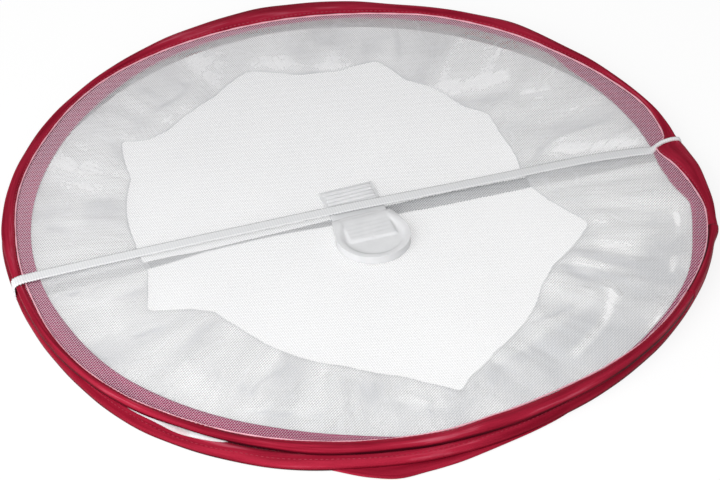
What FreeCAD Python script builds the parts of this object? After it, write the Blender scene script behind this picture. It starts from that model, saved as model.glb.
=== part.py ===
"""A round collapsible mesh cover, folded flat and held shut by an elastic loop.

Two spring-wire hoops, each in a folded cloth casing, lie one on the other. A fine net is
stretched over the upper hoop. The sheer side wall joins the hoops and is folded inwards
between them, so that in section it is a hairpin whose bend makes the lobed line that shows
through the net. A clear pull tab sits in the middle of the net, under the elastic.

Frame, in millimetres: +Z up, the table at Z = 0, the origin under the middle of the hoops.
The elastic runs along X. The tab's grip points towards -Y.
"""

import FreeCAD, Part
import math
import os

import Sketcher

os.makedirs("parts", exist_ok=True)
doc = FreeCAD.newDocument("folded_mesh_cover")

# Driving dimensions
SIZES = [
    ("hoop_radius", 176.0, "middle of the wire to the middle of the hoop"),
    ("wire_diameter", 2.0, "spring wire"),
    ("sleeve_wall", 0.2, "crimp sleeve over the wire's two ends"),
    ("sleeve_length", 20.0, "along the wire"),
    ("lower_sleeve_angle", 205.0, "degrees from +X to the lower sleeve"),
    ("upper_sleeve_angle", 325.0, "degrees from +X to the upper sleeve"),
    ("running_gap", 0.1, "sleeve to casing and wire to sleeve, all round"),
    ("casing_half_height", 2.5, "of each cloth casing over its wire"),
    ("casing_cloth", 1.2, "hemmed tape, all its layers together"),
    ("casing_reach", 6.0, "from the wire's middle in to the stitched edge"),
    ("stitched_half_height", 1.25, "of the casing at its stitched edge"),
    ("slit_half_height", 0.55, "room at the stitched edge for net and wall"),
    ("facing_reach", 8.0, "the upper tape's under leg, past the stitched edge"),
    ("hoop_gap", 2.0, "between the two casings"),
    ("clearance", 0.3, "between pieces that move apart"),
    ("net_thickness", 0.4, "of the stretched net"),
    ("net_tuck", 2.0, "of net held inside the casing"),
    ("net_pitch", 23.2, "from gap to gap"),
    ("net_bar", 1.8, "between two gaps"),
    ("wall_cloth", 0.5, "of the sheer wall with its gathers"),
    ("wall_hem", 2.5, "of wall held in the lower casing or sewn under the upper tape"),
    ("fold_radius", 1.5, "outside of the wall's inner bend"),
    ("fold_height", 4.9, "middle of the wall's inner bend over the table"),
    ("fold_ripple", 1.0, "by which the bend rises and falls from fold to fold"),
    ("elastic_width", 6.2, "knitted elastic"),
    ("elastic_thickness", 0.6, "knitted elastic"),
    ("elastic_corner", 1.0, "inside radius where it turns round the hoops"),
    ("join_length", 14.0, "lapped and stitched ends of the elastic"),
    ("join_place", 48.0, "from the elastic's +X turn in to the lap"),
    ("strip_width", 28.0, "clear strip of the pull tab"),
    ("strip_back", 18.0, "strip behind the elastic's middle line"),
    ("strip_taper", 1.0, "by which each side of the strip draws in"),
    ("strip_thickness", 1.5, "clear soft sheet"),
    ("rib_height", 0.8, "of the grip ribs on the strip"),
    ("rib_width", 1.8, "of one rib at its foot"),
    ("rib_pitch", 2.9, "from rib to rib"),
    ("rib_number", 5.0, "ribs on the strip"),
    ("rib_margin", 0.8, "from the strip's back edge to the first rib"),
    ("grip_diameter", 36.0, "of the round end"),
    ("grip_place", 25.0, "from the elastic's middle line to the round end's middle"),
    ("bead_diameter", 4.4, "rounded rim of the grip"),
    ("bead_sweep", 250.0, "degrees of the round end that the rim goes round"),
    ("hinge_place", 7.5, "from the elastic's middle line to the tab's bend"),
    ("lap_cloth", 0.5, "tape end lapped over the upper casing"),
    ("lap_sweep", 18.0, "degrees of the hoop"),
    ("lap_angle", 321.0, "where the upper lap starts, from +X"),
    ("tail_reach", 7.0, "tape end past the lower casing"),
    ("tail_cloth", 1.0, "thickness of that end"),
    ("tail_angle", 247.0, "where the end starts, from +X"),
    ("tail_sweep", 33.0, "degrees of the hoop"),
]

# Corners of the wall's inner fold, as seen through the net: angle from +X and depth in
# from the stitched edge. They are uneven because cloth crumples as it is pushed in.
FOLD_CORNERS = [
    (5, 79), (23, 71), (33, 62), (41, 64), (59, 53), (67, 39), (77, 47),
    (86, 47), (96, 34), (108, 45), (125, 50), (133, 35), (146, 52), (160, 56),
    (176, 61), (188, 59), (197, 48), (204, 64), (212, 71), (224, 66), (238, 59),
    (250, 56), (262, 46), (272, 29), (284, 46), (300, 56), (311, 64), (325, 63),
    (337, 55), (348, 74),
]

sheet = doc.addObject("Spreadsheet::Sheet", "Sizes")
for row, (alias, number, note) in enumerate(SIZES, start=1):
    sheet.set(f"A{row}", alias)
    sheet.set(f"B{row}", str(number))
    sheet.set(f"C{row}", note)
    sheet.setAlias(f"B{row}", alias)
doc.recompute()


def size(alias):
    """A driving dimension as a plain number."""
    return float(sheet.get(alias))


def sized(formula):
    """A formula on the sheet's aliases, written for an expression."""
    words = formula
    for alias in sorted((name for name, _, _ in SIZES), key=len, reverse=True):
        words = words.replace(alias, f"<<{alias}>>")
    return words.replace("<<", "Sizes.").replace(">>", "")


def worked_out(formula):
    """The same formula's value, for a sketch's first geometry."""
    return float(sheet.evalExpression(sized(formula)))


# Heights that several pieces share
LOWER_MIDDLE = "casing_half_height"
UPPER_MIDDLE = "(3 * casing_half_height + hoop_gap)"
STITCHED_EDGE = "(hoop_radius - casing_reach)"
NET_FOOT = f"({UPPER_MIDDLE} - slit_half_height)"
NET_TOP = f"({NET_FOOT} + net_thickness)"
CASING_EDGE = "(hoop_radius + casing_half_height)"
STACK_TOP = "(4 * casing_half_height + hoop_gap)"

pieces = []


def new_body(label):
    body = doc.addObject("PartDesign::Body", label)
    body.Label = label
    pieces.append(body)
    return body


def new_sketch(body, name, plane):
    sketch = body.newObject("Sketcher::SketchObject", name)
    support = [item for item in body.Origin.OriginFeatures if item.Role == plane][0]
    sketch.AttachmentSupport = (support, "")
    sketch.MapMode = "FlatFace"
    return sketch


def fix_point(sketch, edge, end, formulas):
    """Hold one end of an edge where two formulas on the sheet put it."""
    for kind, formula in zip(("DistanceX", "DistanceY"), formulas):
        number = worked_out(formula)
        index = sketch.addConstraint(Sketcher.Constraint(kind, -1, 1, edge, end, number))
        sketch.setExpression(f"Constraints[{index}]", sized(formula))


def add_loop(sketch, corners):
    """A closed straight-sided loop in a sketch, its corners held by pairs of formulas."""
    first = sketch.GeometryCount
    points = [FreeCAD.Vector(worked_out(x), worked_out(y), 0) for x, y in corners]
    for start, end in zip(points, points[1:] + points[:1]):
        sketch.addGeometry(Part.LineSegment(start, end))
    for step, corner in enumerate(corners):
        edge = first + step
        after = first + (step + 1) % len(corners)
        sketch.addConstraint(Sketcher.Constraint("Coincident", edge, 2, after, 1))
        fix_point(sketch, edge, 1, corner)


def outline(body, name, plane, *loops):
    """A new sketch of one or more loops."""
    sketch = new_sketch(body, name, plane)
    for corners in loops:
        add_loop(sketch, corners)
    return sketch


def circle(sketch, across, up, radius):
    """A circle in a sketch, its middle and radius held by formulas."""
    middle = FreeCAD.Vector(worked_out(across), worked_out(up), 0)
    up_axis = FreeCAD.Vector(0, 0, 1)
    number = worked_out(radius)
    edge = sketch.addGeometry(Part.Circle(middle, up_axis, number))
    fix_point(sketch, edge, 3, (across, up))
    index = sketch.addConstraint(Sketcher.Constraint("Radius", edge, number))
    sketch.setExpression(f"Constraints[{index}]", sized(radius))
    return edge


def revolved(body, name, sketch, sweep="360"):
    turn = body.newObject("PartDesign::Revolution", name)
    turn.Profile = sketch
    turn.ReferenceAxis = (sketch, ["V_Axis"])
    turn.Angle = worked_out(sweep)
    turn.setExpression("Angle", sized(sweep))
    return turn


def padded(body, name, sketch, length, midplane=False):
    pad = body.newObject("PartDesign::Pad", name)
    pad.Profile = sketch
    pad.Length = worked_out(length)
    pad.setExpression("Length", sized(length))
    pad.Midplane = midplane
    return pad


def cut_through(body, name, sketch, length):
    """A pocket cut evenly to both sides of its sketch."""
    before = body.Shape.Volume
    pocket = body.newObject("PartDesign::Pocket", name)
    pocket.Profile = sketch
    pocket.Length = worked_out(length)
    pocket.setExpression("Length", sized(length))
    pocket.Midplane = True
    doc.recompute()
    if not pocket.Shape.Volume < before - 0.01:
        raise RuntimeError(f"{name} removed nothing from {body.Label}")
    return pocket


def six_flats(middle_height, radius):
    """Six flats round the wire's middle, which keep a ring's facets few.

    The corners go round from the foot, so the first four are the outer half.
    """
    corners = []
    for step in range(6):
        turn = f"({60 * step - 90} deg)"
        reach = f"({radius}) / cos(30 deg)"
        corners.append((f"hoop_radius + {reach} * cos{turn}",
                        f"{middle_height} + {reach} * sin{turn}"))
    return corners


def make_wire(label, middle_height):
    """A spring wire bent into a full ring."""
    body = new_body(label)
    section = outline(body, label + "_section", "XZ_Plane",
                      six_flats(middle_height, "wire_diameter / 2"))
    revolved(body, label + "_ring", section)
    return body


def make_sleeve(label, middle_height, angle):
    """The short crimped tube that closes a wire ring, slid over both its ends."""
    body = new_body(label)
    bore = "wire_diameter / 2 + running_gap / 2"
    section = outline(body, label + "_section", "XZ_Plane",
                      six_flats(middle_height, f"{bore} + sleeve_wall"),
                      six_flats(middle_height, bore))
    revolved(body, label + "_tube", section,
             "(sleeve_length / hoop_radius) * (180 / 3.14159265)")
    turn = FreeCAD.Rotation(FreeCAD.Vector(0, 0, 1), size(angle))
    body.Placement = FreeCAD.Placement(FreeCAD.Vector(0, 0, 0), turn)
    return body


def bend_corners(middle_height, half, upwards):
    """The casing's rounded outer end, in three flats, from top to foot or back."""
    shares = [(0.45, 1.0), (1.0, 0.42), (1.0, -0.42), (0.45, -1.0)]
    if upwards:
        shares.reverse()
    return [(f"hoop_radius + {across} * {half}", f"{middle_height} + ({up}) * {half}")
            for across, up in shares]


def make_casing(label, middle_height, with_facing):
    """Cloth tape folded round the wire, its two legs stitched along the inner edge.

    The upper tape's under leg reaches further in and shows through the net.
    """
    body = new_body(label)
    half = "casing_half_height"
    shoulder = f"hoop_radius - 0.6 * {half}"
    corners = [(STITCHED_EDGE, f"{middle_height} + stitched_half_height")]
    corners.append((shoulder, f"{middle_height} + {half}"))
    corners += bend_corners(middle_height, half, upwards=False)
    corners.append((shoulder, f"{middle_height} - {half}"))
    corners.append((STITCHED_EDGE, f"{middle_height} - stitched_half_height"))
    if with_facing:
        facing_edge = f"{STITCHED_EDGE} - facing_reach"
        corners.append((facing_edge, f"{middle_height} - stitched_half_height"))
        corners.append((facing_edge, f"{middle_height} - slit_half_height"))
    corners.append((STITCHED_EDGE, f"{middle_height} - slit_half_height"))
    corners += six_flats(middle_height, "casing_half_height - casing_cloth")[:4]
    corners.append((STITCHED_EDGE, f"{middle_height} + slit_half_height"))
    section = outline(body, label + "_section", "XZ_Plane", corners)
    revolved(body, label + "_ring", section)
    return body


def press_in_elastic(body):
    """Dents under the lower casing where the elastic passes below it."""
    across = f"({CASING_EDGE} + clearance)"
    top = "(elastic_thickness + clearance)"
    corners = [(f"-{across}", "-clearance"), (across, "-clearance"),
               (across, top), (f"-{across}", top)]
    doc.recompute()
    section = outline(body, "elastic_dents_section", "XZ_Plane", corners)
    cut_through(body, "elastic_dents", section, "elastic_width + 2 * clearance")


def make_lap(label):
    """The tape's end, lapped over the upper casing's outer half."""
    body = new_body(label)
    inside = "(casing_half_height + running_gap / 2)"
    outside = "(casing_half_height + running_gap / 2 + lap_cloth)"
    corners = bend_corners(UPPER_MIDDLE, outside, upwards=False)
    corners += bend_corners(UPPER_MIDDLE, inside, upwards=True)
    section = outline(body, label + "_section", "XZ_Plane", corners)
    revolved(body, label + "_turn", section, "lap_sweep")
    turn = FreeCAD.Rotation(FreeCAD.Vector(0, 0, 1), size("lap_angle"))
    body.Placement = FreeCAD.Placement(FreeCAD.Vector(0, 0, 0), turn)
    return body


def polar(radius, degrees, height=0.0):
    angle = math.radians(degrees)
    return FreeCAD.Vector(radius * math.cos(angle), radius * math.sin(angle), height)


def make_tail(label):
    """The lower tape's loose end: a pointed flap that lies outwards on the table."""
    start = size("tail_angle")
    sweep = size("tail_sweep")
    inner = size("hoop_radius") + 0.9 * size("casing_half_height")
    outer = size("hoop_radius") + size("casing_half_height")
    first = polar(inner, start)
    middle = polar(inner, start + sweep / 2)
    last = polar(inner, start + sweep)
    point = polar(outer + size("tail_reach"), start + 0.3 * sweep)
    heel = polar(outer + 0.5 * size("tail_reach"), start + 0.75 * sweep)
    edges = [Part.Arc(first, middle, last).toShape()]
    for a, b in ((last, heel), (heel, point), (point, first)):
        edges.append(Part.makeLine(a, b))
    flap = Part.Face(Part.Wire(edges)).extrude(FreeCAD.Vector(0, 0, size("tail_cloth")))
    return new_feature(label, flap)


def new_feature(label, shape, height=0.0):
    feature = doc.addObject("Part::Feature", label)
    feature.Label = label
    feature.Shape = shape
    feature.Placement.Base = FreeCAD.Vector(0, 0, height)
    pieces.append(feature)
    return feature


def hexagon(middle, radius):
    corners = [middle + polar(radius, 60 * step) for step in range(6)]
    return Part.makePolygon(corners + corners[:1])


def net_gaps():
    """Six-sided gaps in rows, all of them clear of the tape that faces the net."""
    pitch = size("net_pitch")
    gap_radius = (pitch - size("net_bar")) / math.sqrt(3)
    room = worked_out(f"{STITCHED_EDGE} - facing_reach - net_bar") - gap_radius
    column = pitch * math.sqrt(3) / 2
    reach = int(room / column) + 1
    gaps = []
    for i in range(-reach, reach + 1):
        for j in range(-reach - 1, reach + 2):
            middle = FreeCAD.Vector(i * column, (j + 0.5 * (i % 2)) * pitch, 0)
            if middle.Length <= room:
                gaps.append(hexagon(middle, gap_radius))
    return gaps


def make_net(label):
    """The tulle net stretched over the upper hoop, one sheet with its gaps.

    The real net has gaps of about a millimetre, too many for a solid, so this one
    has the same six-sided gaps at a size that a solid can carry.
    """
    edge = Part.makeCircle(worked_out(f"{STITCHED_EDGE} + net_tuck"))
    gaps = net_gaps()
    print("net gaps:", len(gaps))
    face = Part.makeFace([Part.Wire(edge)] + gaps, "Part::FaceMakerBullseye")
    stretched = face.extrude(FreeCAD.Vector(0, 0, size("net_thickness")))
    return new_feature(label, stretched, worked_out(NET_FOOT))


def wall_section(degrees, depth, ripple):
    """The wall cut along one radius, as corners of its outside and of its inside.

    Both run from the lower hem, round the inner bend, up to the upper hem.
    """
    cloth = size("wall_cloth")
    bend = size("fold_radius")
    stitched = worked_out(STITCHED_EDGE)
    low_end = stitched + size("wall_hem")
    high_end = stitched - size("wall_hem")
    low_foot = worked_out(LOWER_MIDDLE) - cloth / 2
    high_top = worked_out(f"{UPPER_MIDDLE} - stitched_half_height - clearance")
    turn_at = stitched - depth + bend
    height = size("fold_height") + ripple

    def side(radius, angles, foot, top):
        corners = [polar(low_end, degrees, foot)]
        for angle in angles:
            turn = math.radians(angle)
            corners.append(polar(turn_at + radius * math.cos(turn), degrees,
                                 height + radius * math.sin(turn)))
        return corners + [polar(high_end, degrees, top)]

    outside = side(bend, (270, 225, 180, 135, 90), low_foot, high_top)
    inside = side(bend - cloth, (270, 180, 90), low_foot + cloth, high_top - cloth)
    return outside, inside


def flat_triangles(here, there):
    """Cloth between two rows of corners, folded along the same diagonal in every field."""
    faces = []
    for first, second, third, fourth in zip(here, here[1:], there[1:], there):
        for corners in ((first, second, third), (first, third, fourth)):
            faces.append(Part.Face(Part.makePolygon([*corners, corners[0]])))
    return faces


def make_wall(label):
    """The sheer side wall with its main folds, in flat triangles from fold to fold."""
    sections = []
    for number, (degrees, depth) in enumerate(FOLD_CORNERS):
        ripple = size("fold_ripple") * (1 if number % 2 else -1)
        sections.append(wall_section(degrees, depth, ripple))
    faces = []
    for here, there in zip(sections, sections[1:] + sections[:1]):
        for side in (0, 1):
            faces += flat_triangles(here[side], there[side])
        for hem in (0, -1):
            faces += flat_triangles([here[0][hem], here[1][hem]],
                                    [there[0][hem], there[1][hem]])
    shell = Part.makeShell(faces)
    shell.sewShape()
    solid = Part.makeSolid(Part.Shell(shell.Faces))
    if solid.Volume < 0:
        solid.reverse()
    return new_feature(label, solid)


def round_corners(body, name, base, radius, inside):
    """Round the four edges along Y, those of the hole or those of the outside."""
    doc.recompute()
    limit = worked_out(f"{CASING_EDGE} + clearance") + 0.01
    chosen = []
    for number, edge in enumerate(base.Shape.Edges, start=1):
        start, end = edge.Vertexes[0].Point, edge.Vertexes[-1].Point
        along = abs(end.y - start.y) > 0.9 * edge.Length
        if along and (abs(start.x) < limit) == inside:
            chosen.append(f"Edge{number}")
    fillet = body.newObject("PartDesign::Fillet", name)
    fillet.Base = (base, chosen)
    fillet.Radius = worked_out(radius)
    fillet.setExpression("Radius", sized(radius))
    return fillet


def make_elastic(label):
    """The flat elastic loop, stretched over and under both hoops."""
    body = new_body(label)
    inner = f"({CASING_EDGE} + clearance)"
    outer = f"({CASING_EDGE} + clearance + elastic_thickness)"
    roof = f"({STACK_TOP} + clearance)"
    outside = outline(body, "loop_outside", "XZ_Plane", [
        (f"-{outer}", "0 * clearance"), (outer, "0 * clearance"),
        (outer, f"{roof} + elastic_thickness"), (f"-{outer}", f"{roof} + elastic_thickness")])
    padded(body, "loop_block", outside, "elastic_width", midplane=True)
    doc.recompute()
    hole = outline(body, "loop_hole", "XZ_Plane", [
        (f"-{inner}", "elastic_thickness"), (inner, "elastic_thickness"),
        (inner, roof), (f"-{inner}", roof)])
    band = cut_through(body, "loop_band", hole, "elastic_width + 2 * clearance")
    turned = round_corners(body, "loop_inner_corners", band, "elastic_corner", True)
    round_corners(body, "loop_outer_corners", turned,
                  "elastic_corner + elastic_thickness", False)
    return body


def make_join(label):
    """The elastic's own end, lapped on its lower strand and stitched."""
    box = doc.addObject("Part::Box", label)
    box.Label = label
    box.setExpression("Length", sized("join_length"))
    box.setExpression("Width", sized("elastic_width"))
    box.setExpression("Height", sized("elastic_thickness"))
    box.setExpression("Placement.Base.x", sized(f"{CASING_EDGE} - join_place"))
    box.setExpression("Placement.Base.y", sized("-elastic_width / 2"))
    box.setExpression("Placement.Base.z", sized("elastic_thickness"))
    pieces.append(box)
    return box


def make_strip(label):
    """The ribbed strip of the pull tab, fixed flat on the net under the elastic."""
    body = new_body(label)
    front = "(hinge_place - strip_thickness / 2 - clearance)"
    half = "(strip_width / 2)"
    plan = outline(body, "strip_plan", "XY_Plane", [
        (f"-{half}", "strip_back"), (f"-{half} + strip_taper", f"-{front}"),
        (f"{half} - strip_taper", f"-{front}"), (half, "strip_back")])
    padded(body, "strip_sheet", plan, "strip_thickness")
    doc.recompute()
    back = "(strip_back - rib_margin)"
    rib = outline(body, "rib_section", "YZ_Plane", [
        (back, "strip_thickness / 2"), (back, "strip_thickness"),
        (f"{back} - 0.25 * rib_width", "strip_thickness + rib_height"),
        (f"{back} - 0.75 * rib_width", "strip_thickness + rib_height"),
        (f"{back} - rib_width", "strip_thickness"),
        (f"{back} - rib_width", "strip_thickness / 2")])
    first = padded(body, "first_rib", rib, "strip_width - 4 * strip_taper", midplane=True)
    doc.recompute()
    ribs = body.newObject("PartDesign::LinearPattern", "ribs")
    ribs.Originals = [first]
    ribs.Direction = (rib, ["H_Axis"])
    ribs.Reversed = True
    ribs.Length = worked_out("(rib_number - 1) * rib_pitch")
    ribs.setExpression("Length", sized("(rib_number - 1) * rib_pitch"))
    ribs.Occurrences = int(size("rib_number"))
    ribs.setExpression("Occurrences", sized("rib_number"))
    body.Tip = ribs
    body.Placement.Base.z = worked_out(NET_TOP)
    body.setExpression("Placement.Base.z", sized(NET_TOP))
    return body


def make_grip(label):
    """The round clear end of the tab: a thin disc on a neck, with a thick rounded rim.

    The neck's end is rounded about the line where the soft tab bends.
    """
    body = new_body(label)
    neck_end = "(hinge_place - strip_thickness / 2)"
    half = "(strip_width / 2 - strip_taper)"
    neck = outline(body, "neck_plan", "XY_Plane", [
        (f"-{half}", f"-{neck_end}"), (f"-{half}", "-grip_place"),
        (half, "-grip_place"), (half, f"-{neck_end}")])
    neck_pad = padded(body, "neck_sheet", neck, "strip_thickness")
    doc.recompute()
    end_edges = []
    for number, edge in enumerate(neck_pad.Shape.Edges, start=1):
        middle = edge.CenterOfMass
        if abs(middle.y + worked_out(neck_end)) < 0.01 and abs(middle.x) < 0.01:
            end_edges.append(f"Edge{number}")
    bend = body.newObject("PartDesign::Fillet", "bend_rounding")
    bend.Base = (neck_pad, end_edges)
    bend.Radius = worked_out("0.49 * strip_thickness")
    bend.setExpression("Radius", sized("0.49 * strip_thickness"))
    doc.recompute()
    disc = new_sketch(body, "disc_plan", "XY_Plane")
    circle(disc, "0 * clearance", "-grip_place", "grip_diameter / 2 - bead_diameter / 4")
    padded(body, "disc_sheet", disc, "strip_thickness")
    doc.recompute()
    return body


def make_bead(grip):
    """The grip's rounded rim, turned about the round end's own middle."""
    bead = new_sketch(grip, "bead_section", "YZ_Plane")
    middle_radius = "(grip_diameter / 2 - bead_diameter / 2)"
    axis = bead.addGeometry(Part.LineSegment(
        FreeCAD.Vector(-worked_out("grip_place"), 0, 0),
        FreeCAD.Vector(-worked_out("grip_place"), worked_out("bead_diameter"), 0)), True)
    fix_point(bead, axis, 1, ("-grip_place", "0 * clearance"))
    fix_point(bead, axis, 2, ("-grip_place", "bead_diameter"))
    reach = "(bead_diameter / 2) / cos(22.5 deg)"
    turns = [f"({22.5 + 45 * step} deg)" for step in range(8)]
    add_loop(bead, [(f"-grip_place - {middle_radius} + {reach} * cos{turn}",
                     f"bead_diameter / 2 + {reach} * sin{turn}") for turn in turns])
    rim = grip.newObject("PartDesign::Revolution", "bead")
    rim.Profile = bead
    rim.ReferenceAxis = (bead, ["Axis0"])
    rim.Midplane = True
    rim.Angle = size("bead_sweep")
    rim.setExpression("Angle", sized("bead_sweep"))
    doc.recompute()
    grip.Placement.Base.z = worked_out(f"{NET_TOP} + clearance")
    grip.setExpression("Placement.Base.z", sized(f"{NET_TOP} + clearance"))
    return grip


make_wire("lower_hoop_wire", LOWER_MIDDLE)
make_sleeve("lower_hoop_sleeve", LOWER_MIDDLE, "lower_sleeve_angle")
press_in_elastic(make_casing("lower_binding", LOWER_MIDDLE, with_facing=False))
make_tail("lower_binding_tail")
make_wall("side_wall")
make_wire("upper_hoop_wire", UPPER_MIDDLE)
make_sleeve("upper_hoop_sleeve", UPPER_MIDDLE, "upper_sleeve_angle")
make_casing("upper_binding", UPPER_MIDDLE, with_facing=True)
make_lap("upper_binding_lap")
make_net("top_net")
make_strip("tab_strip")
make_bead(make_grip("tab_grip"))
make_elastic("elastic_band")
make_join("elastic_join")
doc.recompute()

for item in doc.Objects:
    if "Invalid" in item.State or "Error" in item.State:
        raise RuntimeError(f"{item.Label} failed: {item.State}")
for piece in pieces:
    if piece.Shape.isNull() or not piece.Shape.isValid():
        raise RuntimeError(f"{piece.Label} has no valid shape")
    if len(piece.Shape.Solids) != 1:
        raise RuntimeError(f"{piece.Label} has {len(piece.Shape.Solids)} solids")

for piece in pieces:
    piece.Shape.exportStep(f"parts/{piece.Label}.step")
    print(f"{piece.Label}: {piece.Shape.Volume:.1f} mm3")
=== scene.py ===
# %% [markdown]
# # A round mesh cover, folded flat
#
# The object is a pop-up cover of white net. Two spring-wire hoops, each in a crimson tape,
# lie one on the other, and the sheer side wall is folded in between them. An elastic
# loop holds the packet shut, and a clear plastic tab sits under it.
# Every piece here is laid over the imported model, which gives the sizes and the movement.

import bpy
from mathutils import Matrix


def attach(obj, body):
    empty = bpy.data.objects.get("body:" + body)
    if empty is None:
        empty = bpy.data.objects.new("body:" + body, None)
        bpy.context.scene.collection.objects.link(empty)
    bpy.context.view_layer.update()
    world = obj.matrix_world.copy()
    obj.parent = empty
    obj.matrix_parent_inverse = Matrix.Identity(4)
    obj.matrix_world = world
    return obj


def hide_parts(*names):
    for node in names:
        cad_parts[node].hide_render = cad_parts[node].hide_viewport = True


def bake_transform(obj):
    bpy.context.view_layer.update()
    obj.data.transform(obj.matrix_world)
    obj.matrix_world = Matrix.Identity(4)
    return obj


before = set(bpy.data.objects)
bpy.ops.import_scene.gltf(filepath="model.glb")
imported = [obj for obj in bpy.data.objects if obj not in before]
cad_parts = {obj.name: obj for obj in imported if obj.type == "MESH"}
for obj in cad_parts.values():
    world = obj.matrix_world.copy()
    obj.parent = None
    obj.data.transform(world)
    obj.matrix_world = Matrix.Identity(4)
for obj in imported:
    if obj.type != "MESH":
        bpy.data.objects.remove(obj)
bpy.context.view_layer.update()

# %% [markdown]
# ## The camera
#
# The photograph is taken from a raised point in front, with a long lens, so the hoops look
# almost like plain ellipses. The heading, height and slight roll were worked out from the
# ends of the elastic and the outline of the hoops.

# %% Place the camera
import math

import bpy
import numpy as np
from mathutils import Matrix, Vector

MM = 0.001
PICTURE_WIDE, PICTURE_HIGH = 720, 480
LENS, FILM = 160, 36
LENS_IN_PIXELS = LENS / FILM * PICTURE_WIDE


def place_camera(aim, away, heading, raised, roll):
    """A camera aimed at a point in millimetres, its angles in degrees."""
    side, rise, tilt = (math.radians(angle) for angle in (heading, raised, roll))
    level = Vector((math.sin(side), math.cos(side), 0))
    forward = level * math.cos(rise) - Vector((0, 0, math.sin(rise)))
    right = Vector((level.y, -level.x, 0))
    up = right.cross(forward)
    across = right * math.cos(tilt) - up * math.sin(tilt)
    upwards = right * math.sin(tilt) + up * math.cos(tilt)
    bpy.ops.object.camera_add()
    camera = bpy.context.object
    turned = Matrix((across, upwards, -forward)).transposed().to_4x4()
    camera.matrix_world = Matrix.Translation((Vector(aim) - forward * away) * MM) @ turned
    camera.data.lens = LENS
    camera.data.sensor_width = FILM
    camera.data.sensor_fit = "HORIZONTAL"
    return camera


camera = place_camera((-5.7, -24.7, 10.5), 1561.3, 17.6, 38.716, 1.27)
scene = bpy.context.scene
scene.camera = camera


def seen_at(across, down, height):
    """Where a place in the picture, in pixels, lies on the object at a height, in mm."""
    ray = camera.matrix_world.to_3x3() @ Vector((
        (across - PICTURE_WIDE / 2) / LENS_IN_PIXELS,
        (PICTURE_HIGH / 2 - down) / LENS_IN_PIXELS, -1))
    start = camera.matrix_world.translation / MM
    point = start + ray * ((height - start.z) / ray.z)
    return point.x, point.y


scene.view_settings.view_transform = "Standard"
print("camera at", [round(value, 3) for value in camera.location])

# %% [markdown]
# ## Lines round the hoops
#
# The elastic squeezes the round hoops into ovals, and the tape puckers where it is held.
# Each line round the hoops is written as a few marks, an angle and a distance, with a
# smooth curve through them that never swings out past its marks. Fewer marks make a
# calmer line, as a real spring wire does.


# %% A smooth line through marks
def smooth_line(marks, around=False):
    """A smooth line through (place, size) marks. around closes it after 360 degrees."""
    places, sizes = (np.array(column, float) for column in zip(*sorted(marks)))
    if around:
        places = np.concatenate((places[-2:] - 360, places, places[:2] + 360))
        sizes = np.concatenate((sizes[-2:], sizes, sizes[:2]))
    chords = np.diff(sizes) / np.diff(places)
    before, after = chords[:-1], chords[1:]
    turning = np.where(before * after > 0, before + after, 1)
    slopes = np.zeros(len(sizes))
    slopes[1:-1] = np.where(before * after > 0, 2 * before * after / turning, 0)

    def read(place):
        place = np.mod(place, 360) if around else np.clip(place, places[0], places[-1])
        after = np.clip(np.searchsorted(places, place), 1, len(places) - 1)
        before = after - 1
        step = places[after] - places[before]
        t = (place - places[before]) / step
        level = sizes[before] * (1 + 2 * t) * (1 - t) ** 2 + sizes[after] * t * t * (3 - 2 * t)
        lean = slopes[before] * t * (1 - t) ** 2 - slopes[after] * t * t * (1 - t)
        return level + step * lean

    return read


# %% [markdown]
# Angles run from the elastic's right-hand end, against the clock, seen from above.
# The upper tape's inner edge is pulled far in just below the right end of the elastic,
# where the tape is caught and pressed flat. In front, the lower hoop bows out.

# %% The hoops' own lines
upper_inner_edge = smooth_line([
    (0.6, 165.8), (4, 168.2), (12, 170.6), (20, 169.7), (33, 169), (40, 170.2), (50, 171),
    (58, 171.5), (66, 170.1), (74, 169.4), (87, 169.6), (100, 170.3), (110, 171.4),
    (121, 172.5), (130, 171.6), (140, 169.9), (155, 169.2), (170, 167.6), (184, 168.2),
    (196, 171.2), (206, 172.8), (214, 173.3), (222, 172.6), (230, 172.4), (243, 171.3),
    (256, 169.9), (265, 168.8), (275, 166.2), (284, 165.8), (296, 168.2), (305, 170.6),
    (318, 172), (332, 173.9), (340, 173), (346, 169.3), (353, 164), (358.3, 158.9)],
    around=True)
upper_outer_edge = smooth_line([
    (0.5, 172.4), (4, 173.2), (18, 173.8), (32, 175.5), (45, 179.4), (52, 178.4),
    (60, 178.2), (75, 181.8), (88, 183), (105, 179.6), (122, 177.2), (145, 175),
    (165, 174.4), (181, 172.8), (196, 174.9), (215, 176.9), (240, 177), (262, 175),
    (282, 173.4), (300, 174), (321, 176.2), (332.5, 177.3), (335.4, 178.7), (338.5, 177.7),
    (343, 177.2), (351, 175.6), (357, 173.3)], around=True)
lower_outer_edge = smooth_line([
    (0.5, 172), (6, 172.5), (45, 175), (90, 178), (135, 174), (165, 174.6), (181, 173.3),
    (196, 174.6), (211, 178.8), (221, 181.4), (238, 182.4), (250, 180), (262, 178.6),
    (275, 175.8), (286, 173.9), (297, 173.5), (321, 175.2), (335, 177), (345, 176.4),
    (356, 173)], around=True)
facing_edge = smooth_line([
    (0, 157), (16, 159), (27, 161), (35, 166), (60, 166.5), (90, 165.6), (110, 165),
    (125, 162), (150, 159.8), (190, 160.4), (212, 163), (236, 163), (250, 164.6),
    (262, 168), (300, 168), (322, 168.5), (335, 166), (342, 165.5), (348, 158.8),
    (355, 156)], around=True)
print("upper hoop, in mm:",
      [round(float(upper_outer_edge(turn) + upper_outer_edge(turn + 180))) for turn in (0, 90)])

# %% [markdown]
# ## Laying cloth
#
# Tape, net and wall are flat cloth that was cut, then laid or folded. So each starts as a
# flat grid, whose own places are kept as a UV map in millimetres for the weave to follow,
# and then every point is laid where a formula says. Thickness comes last.


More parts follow.
